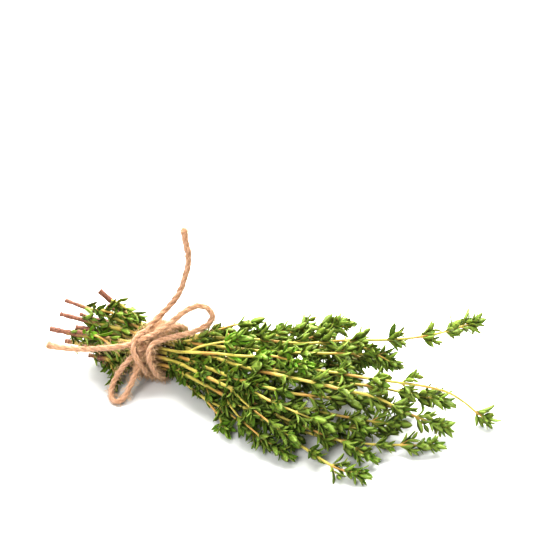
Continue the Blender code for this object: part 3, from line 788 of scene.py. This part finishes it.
class Growth:
    """The leaves of one sprig, as it grows."""

    def __init__(self, owner, room, random):
        self.owner, self.room, self.random = owner, room, random
        self.bare = BARE_STRETCH.get(owner, (0, 0))
        self.roots, self.stands, self.sizes = [], [], []
        self.shapes, self.tints, self.ages, self.twigs = [], [], [], []

    def try_leaf(self, root, way, outward, angle, length, youth, shape=None, tries=4):
        """Stands a leaf at the root where it has most room, or leaves it out where it has none."""
        best = None
        for attempt in range(tries):
            lean = angle + self.random.normal(0, 0.08 + 0.08 * attempt)
            sideways = np.cross(way, outward) * self.random.normal(0, 0.12 + 0.1 * attempt)
            out = unit(outward + sideways)
            along = way * math.cos(lean) + out * math.sin(lean)
            face = way * math.sin(lean) - out * math.cos(lean)
            places = [root + along * length * share for share in (0.35, 0.7, 1.0)]
            across = np.cross(face, along) * length * 0.2
            places += [places[0] + across, places[0] - across]
            bent_tip = places[2] - face * length * 0.25
            if min(p[2] for p in (*places, bent_tip)) < SURFACE + LEAF_CLEARANCE:
                continue
            gap = self.room.gap(places, self.owner)
            if best is None or gap > best[0]:
                best = (gap, along, face, places)
            if gap > GOOD_GAP:
                break
        if best is None or best[0] < LEAST_GAP:
            return
        _, along, face, places = best
        self.room.add(places[:3], 0.2, (self.owner, len(self.roots)))
        self.roots.append(root)
        self.stands.append(leaf_stand(along, face))
        wide = self.random.uniform(0.87, 1.16)
        self.sizes.append((length * wide * MM, length * MM, length * MM))
        self.shapes.append(self.random.choice(OUTSIDE_SHAPES) if shape is None else shape)
        self.tints.append(self.random.uniform(0, 1))
        self.ages.append(youth)

    def grow_shoot(self, route, radii, is_side, bright):
        """Pairs of leaves down the shoot, each a quarter turn on from the last."""
        along = run_along(route)
        ways = directions(route, False)
        turn = self.random.uniform(0, math.pi)
        for stop in node_stops(route, along, is_side, self.random):
            here = at_length(route, along, stop)
            way = unit(at_length(ways, along, stop))
            turn += math.pi / 2 + self.random.normal(0, 0.2)
            if BARE_TIE[0] < here[0] < BARE_TIE[1] or self.bare[0] < here[0] < self.bare[1]:
                continue
            side = unit(np.cross(way, (0, 0, 1.0)))
            up = np.cross(side, way)
            radius = np.interp(stop, along, radii)
            from_tip = along[-1] - stop
            youth = max(0.0, 1 - from_tip / YOUNG_LENGTH)
            full = np.interp(from_tip, *LEAF_LENGTHS) * self.random.uniform(0.85, 1.12)
            angle = np.interp(from_tip, *LEAF_ANGLES)
            low = np.interp(here[0], *SHORTER_NEAR_TIE)
            full *= low
            for half in (0, math.pi):
                out = side * math.cos(turn + half) + up * math.sin(turn + half)
                if self.is_rubbed_off(here, out):
                    continue
                root = here + out * radius * 0.6
                young = max(0.8 * youth, bright)
                shape = CUPPED if from_tip < TIP_PAIRS else None
                self.try_leaf(root, way, out, angle, full, young, shape)
                share = np.interp(here[2], TUFT_HEIGHTS, TUFT_SHARES)
                if from_tip > TUFTS_FROM and (here[0] > 0 or self.random.random() < share):
                    size = min(1.0, 0.6 + from_tip / 40) * low
                    self.grow_tuft(here, way, out, radius, young, size)

    def is_rubbed_off(self, here, out):
        """Handling takes half the leaves off the outside of the bunch, near the tie."""
        from_middle = np.array((0, here[1] + 0.25 * here[0], here[2] - 12))
        outside = np.dot(out, from_middle) / np.linalg.norm(from_middle)
        is_handled = RUBBED_START < here[0] < RUBBED_END and outside > 0.25
        return is_handled and self.random.random() < RUBBED_SHARE

    def grow_tuft(self, here, way, out, radius, youth, size):
        """The short shoot in the axil of a leaf, with three pairs of young leaves."""
        lean = unit(way * 0.9 + out * self.random.uniform(0.2, 0.6))
        across = unit(np.cross(lean, out))
        up = np.cross(across, lean)
        turn = self.random.uniform(0, math.pi)
        start, grown = here + out * radius * 0.6, len(self.roots)
        for far, length, angle in TUFT_PAIRS:
            turn += math.pi / 2
            place = start + lean * far * size
            for half in (0, math.pi):
                spread = across * math.cos(turn + half) + up * math.sin(turn + half)
                long = length * size * self.random.uniform(0.8, 1.15)
                self.try_leaf(place, lean, spread, angle, long, max(youth, 0.2), tries=3)
        if len(self.roots) > grown:
            middle = (start + place) / 2
            self.twigs.append((np.array([here, middle, place]), np.array(TWIG_RADII)))


KNOB_SPACING, BLUSH_SPACING = 9.0, 31.0


def stem_points(lines):
    """The stations of a sprig's lines, their links and what the tubes and their finish read."""
    points, links = [], []
    read = {"thickness": [], "wood": [], "cut": [], "blush": []}
    for number, (route, radii) in enumerate(lines):
        along = run_along(route)
        first, is_main = len(points), number == 0
        stops = np.concatenate([[0, 0.05], along[1:]])
        points += at_length(route, along, stops).tolist()
        links += [(first + i, first + i + 1) for i in range(len(stops) - 1)]
        knobs = np.cos(2 * math.pi * stops / KNOB_SPACING + number)
        knobs = 1 + 0.10 * np.clip(knobs - 0.6, 0, 1) / 0.4
        gnarled = np.array([noise.noise(Vector((0.45 * s, route[0][1], number))) for s in stops])
        knobs += 0.35 * gnarled * np.interp(stops, [0, 14, 20], [1, 1, 0])
        read["thickness"] += (np.interp(stops, along, radii) * knobs * MM).tolist()
        bark_end = COVERED_BARK_END if route[0][2] < COVERED_BELOW else BARK_END
        woody = np.interp(stops, [0, 0.35 * bark_end, bark_end], [1, 0.85, 0])
        read["wood"] += (woody * is_main).tolist()
        read["cut"] += [float(i == 0 and is_main) for i in range(len(stops))]
        reddish = np.cos(2 * math.pi * stops / BLUSH_SPACING + 2.0 * number) - 0.35
        read["blush"] += (np.clip(reddish, 0, 0.65) / 0.65).tolist()
    return points, links, read


def sprig_tree():
    """Tubes along the sprig's links and a leaf on each of its loose points."""
    inputs = {"Sprig": "Geometry", "Leaf shapes": "Collection", "Stem sides": "Int",
              "Leaf finish": "Material", "Stem finish": "Material"}
    sprig = GrowingTree("grown_sprig", inputs, "Sprig")
    given, grow, read = sprig.given, sprig.grow, sprig.read
    is_leaf = read("is_leaf", "BOOLEAN")
    parts = grow("SeparateGeometry", {"Geometry": given["Sprig"], "Selection": is_leaf})
    roots = grow("MeshToPoints", {"Mesh": parts["Selection"]})
    shapes = grow("CollectionInfo", {"Collection": given["Leaf shapes"],
                                     "Separate Children": True, "Reset Children": True})
    leaves = grow("InstanceOnPoints", {
        "Points": roots[0], "Instance": shapes[0], "Pick Instance": True,
        "Instance Index": read("shape", "INT"), "Rotation": read("stand", "QUATERNION"),
        "Scale": read("size", "FLOAT_VECTOR")})
    leaves = grow("RealizeInstances", {"Geometry": leaves[0]})
    leaves = grow("SetMaterial", {"Geometry": leaves[0], "Material": given["Leaf finish"]})
    lines = grow("MeshToCurve", {"Mesh": parts["Inverted"]})
    ring = grow("CurvePrimitiveCircle", {"Resolution": given["Stem sides"], "Radius": 1.0})
    tubes = grow("CurveToMesh", {"Curve": lines[0], "Profile Curve": ring[0],
                                 "Scale": read("thickness", "FLOAT"), "Fill Caps": True})
    tubes = grow("SetMaterial", {"Geometry": tubes[0], "Material": given["Stem finish"]})
    both = sprig.add("GeometryNodeJoinGeometry")
    for grown in (leaves, tubes):
        sprig.tree.links.new(grown[0], both.inputs[0])
    return sprig.end(both.outputs[0])


def leaf_finish():
    leaf = Finish("thyme_leaf")
    mix, maths, spread = leaf.mix, leaf.maths, leaf.spread
    plan = leaf.add("ShaderNodeUVMap", uv_map="leaf_plan")
    plan = leaf.add("ShaderNodeSeparateXYZ", {0: plan.outputs[0]})
    aside = maths("ABSOLUTE", maths("SUBTRACT", plan.outputs["X"], 0.5))
    midrib = spread(aside, 0.0, 0.09, 1.0, 0.0)
    slanted = maths("MULTIPLY", plan.outputs["Y"], 6.0)
    slanted = maths("SUBTRACT", slanted, maths("MULTIPLY", aside, 4.2))
    lateral = maths("ABSOLUTE", maths("SUBTRACT", maths("FRACT", slanted), 0.5))
    lateral = spread(lateral, 0.0, 0.16, 1.0, 0.0)
    veins = maths("MAXIMUM", midrib, maths("MULTIPLY", lateral, 0.45))
    edge = spread(aside, 0.38, 0.5)
    tint, age, under = leaf.read("tint"), leaf.read("age"), leaf.read("underside")
    patches = leaf.mottle(leaf.place(), 420.0, 3.0)
    grain = leaf.mottle(leaf.place(), 2600.0, 2.0)
    colour = mix(tint, (0.026, 0.066, 0.004), (0.258, 0.368, 0.052))
    colour = mix(spread(patches, 0.35, 0.7, 0.0, 0.5), colour, (0.14, 0.205, 0.020))
    colour = mix(maths("MULTIPLY", age, 0.85), colour, (0.19, 0.39, 0.022))
    colour = mix(maths("MULTIPLY", under, 0.75), colour, (0.21, 0.265, 0.058))
    colour = mix(maths("MULTIPLY", veins, 0.6), colour, (0.36, 0.46, 0.10))
    colour = mix(maths("MULTIPLY", edge, 0.4), colour, (0.30, 0.38, 0.08))
    colour = mix(spread(grain, 0.45, 0.75, 0.0, 0.25), colour, (0.02, 0.05, 0.004))
    relief = maths("ADD", maths("MULTIPLY", veins, -1.0), maths("MULTIPLY", grain, 0.35))
    rough = spread(patches, 0.3, 0.7, 0.36, 0.5)
    return leaf.finish(colour, rough, relief, 0.00012, Subsurface_Weight=0.06,
                       Subsurface_Scale=0.0006, Specular_IOR_Level=0.38, Sheen_Weight=0.04,
                       Sheen_Roughness=0.4)


def stem_finish():
    stem = Finish("thyme_stem")
    mix, maths, spread = stem.mix, stem.maths, stem.spread
    wood, cut, blush = stem.read("wood"), stem.read("cut"), stem.read("blush")
    patches = stem.mottle(stem.place(), 300.0, 3.0)
    grain = stem.mottle(stem.place(), 1900.0, 3.0)
    colour = mix(spread(patches, 0.35, 0.65), (0.36, 0.315, 0.07), (0.50, 0.42, 0.13))
    colour = mix(maths("MULTIPLY", blush, 0.6), colour, (0.44, 0.215, 0.08))
    bark = mix(spread(grain, 0.35, 0.65), (0.10, 0.04, 0.025), (0.31, 0.145, 0.085))
    barked = maths("ADD", wood, spread(patches, 0.3, 0.7, -0.3, 0.3))
    colour = mix(spread(barked, 0.3, 0.75), colour, bark)
    colour = mix(cut, colour, (0.45, 0.29, 0.17))
    return stem.finish(colour, 0.55, grain, 0.0001, Sheen_Weight=0.1)


SPRIG_TREE, LEAF_FINISH, STEM_FINISH = sprig_tree(), leaf_finish(), stem_finish()


def grown_sprig(name, lines, growth):
    """The sprig that grows on one mesh of its stems' stations and its leaves' roots."""
    points, links, stems = stem_points(lines + growth.twigs)
    bare, leaves = len(points), len(growth.roots)
    mesh = bpy.data.meshes.new(name)
    mesh.from_pydata(from_tie(points + [r.tolist() for r in growth.roots]).tolist(), links, [])
    stands = [x for q in growth.stands for x in q]
    sizes = [x for s in growth.sizes for x in s]
    keep_columns(mesh, {
        "is_leaf": ("BOOLEAN", [False] * bare + [True] * leaves),
        **{column: ("FLOAT", values + [0.0] * leaves) for column, values in stems.items()},
        "shape": ("INT", [0] * bare + [int(s) for s in growth.shapes]),
        "tint": ("FLOAT", [0.0] * bare + growth.tints),
        "age": ("FLOAT", [0.0] * bare + growth.ages),
        "stand": ("QUATERNION", [1.0, 0, 0, 0] * bare + stands),
        "size": ("FLOAT_VECTOR", [0.0] * 3 * bare + sizes)})
    grown = grown_mesh(name, mesh, SPRIG_TREE,
                       {"Leaf shapes": LEAF_SHAPES, "Stem sides": STEM_SIDES,
                        "Leaf finish": LEAF_FINISH, "Stem finish": STEM_FINISH})
    for used in ("is_leaf", "thickness", "shape", "stand", "size"):
        if used in grown.attributes:
            grown.attributes.remove(grown.attributes[used])
    rest_on_surface(grown, 1)
    return grown


room = Room()
for route in (*(route for route, _ in strand.values()), *map(turn_route, CLOSED_TURNS_X)):
    room.add(route[::2], TWINE / 2 + 0.2, "twine")
sprig_lines = {name: [stem_line(radius, line, i > 0) for i, line in enumerate(lines)]
               for name, (radius, *lines) in SPRIGS.items()}
for name, lines in sprig_lines.items():
    for route, radii in lines:
        room.add(route, float(radii.mean()), name)
for number, (name, lines) in enumerate(sprig_lines.items()):
    growth = Growth(name, room, np.random.default_rng(100 + number))
    for k, (route, radii) in enumerate(lines):
        growth.grow_shoot(route, radii, k > 0, 1.0 if name == "bright" else 0.0)
    piece = add_piece("thyme_" + name, grown_sprig("thyme_" + name, lines, growth))
    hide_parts("sprig_" + name)

for shape in list(LEAF_SHAPES.objects):
    bpy.data.objects.remove(shape)

# ------------------------------------------------------------
# A plain pale surface, and the soft light of a bright studio: a wide light overhead and behind,
# and a weak one in front.
SURFACE_HALF = 3.0


def lay_surface():
    mesh = bpy.data.meshes.new("surface")
    corners = [(-1, -1), (1, -1), (1, 1), (-1, 1)]
    corners = [(SURFACE_HALF * x, SURFACE_HALF * y, 0) for x, y in corners]
    mesh.from_pydata(corners, [], [(0, 1, 2, 3)])
    pale = bpy.data.materials.new("pale_surface")
    pale.use_nodes = True
    shader = pale.node_tree.nodes["Principled BSDF"]
    shader.inputs["Base Color"].default_value = (0.64, 0.64, 0.64, 1)
    shader.inputs["Roughness"].default_value = 0.8
    mesh.materials.append(pale)
    surface = bpy.data.objects.new("surface", mesh)
    bpy.context.scene.collection.objects.link(surface)


def soft_light(name, place, size, power):
    light = bpy.data.lights.new(name, "AREA")
    light.shape, light.size, light.energy = "DISK", size, power
    lamp = bpy.data.objects.new(name, light)
    lamp.location = place
    lamp.rotation_euler = (-Vector(place)).to_track_quat("-Z", "Y").to_euler()
    bpy.context.scene.collection.objects.link(lamp)


lay_surface()
soft_light("overhead", (-0.15, 0.8, 1.15), 1.8, 68.0)
soft_light("front", (-0.1, -1.2, 1.1), 0.7, 19.0)
world = bpy.data.worlds.new("studio")
bpy.context.scene.world = world
world.use_nodes = True
background = world.node_tree.nodes["Background"].inputs
background["Color"].default_value = (1, 1, 1, 1)
background["Strength"].default_value = 0.44
view = bpy.context.scene.view_settings
view.view_transform, view.exposure, view.gamma = "Standard", 0.55, 0.68
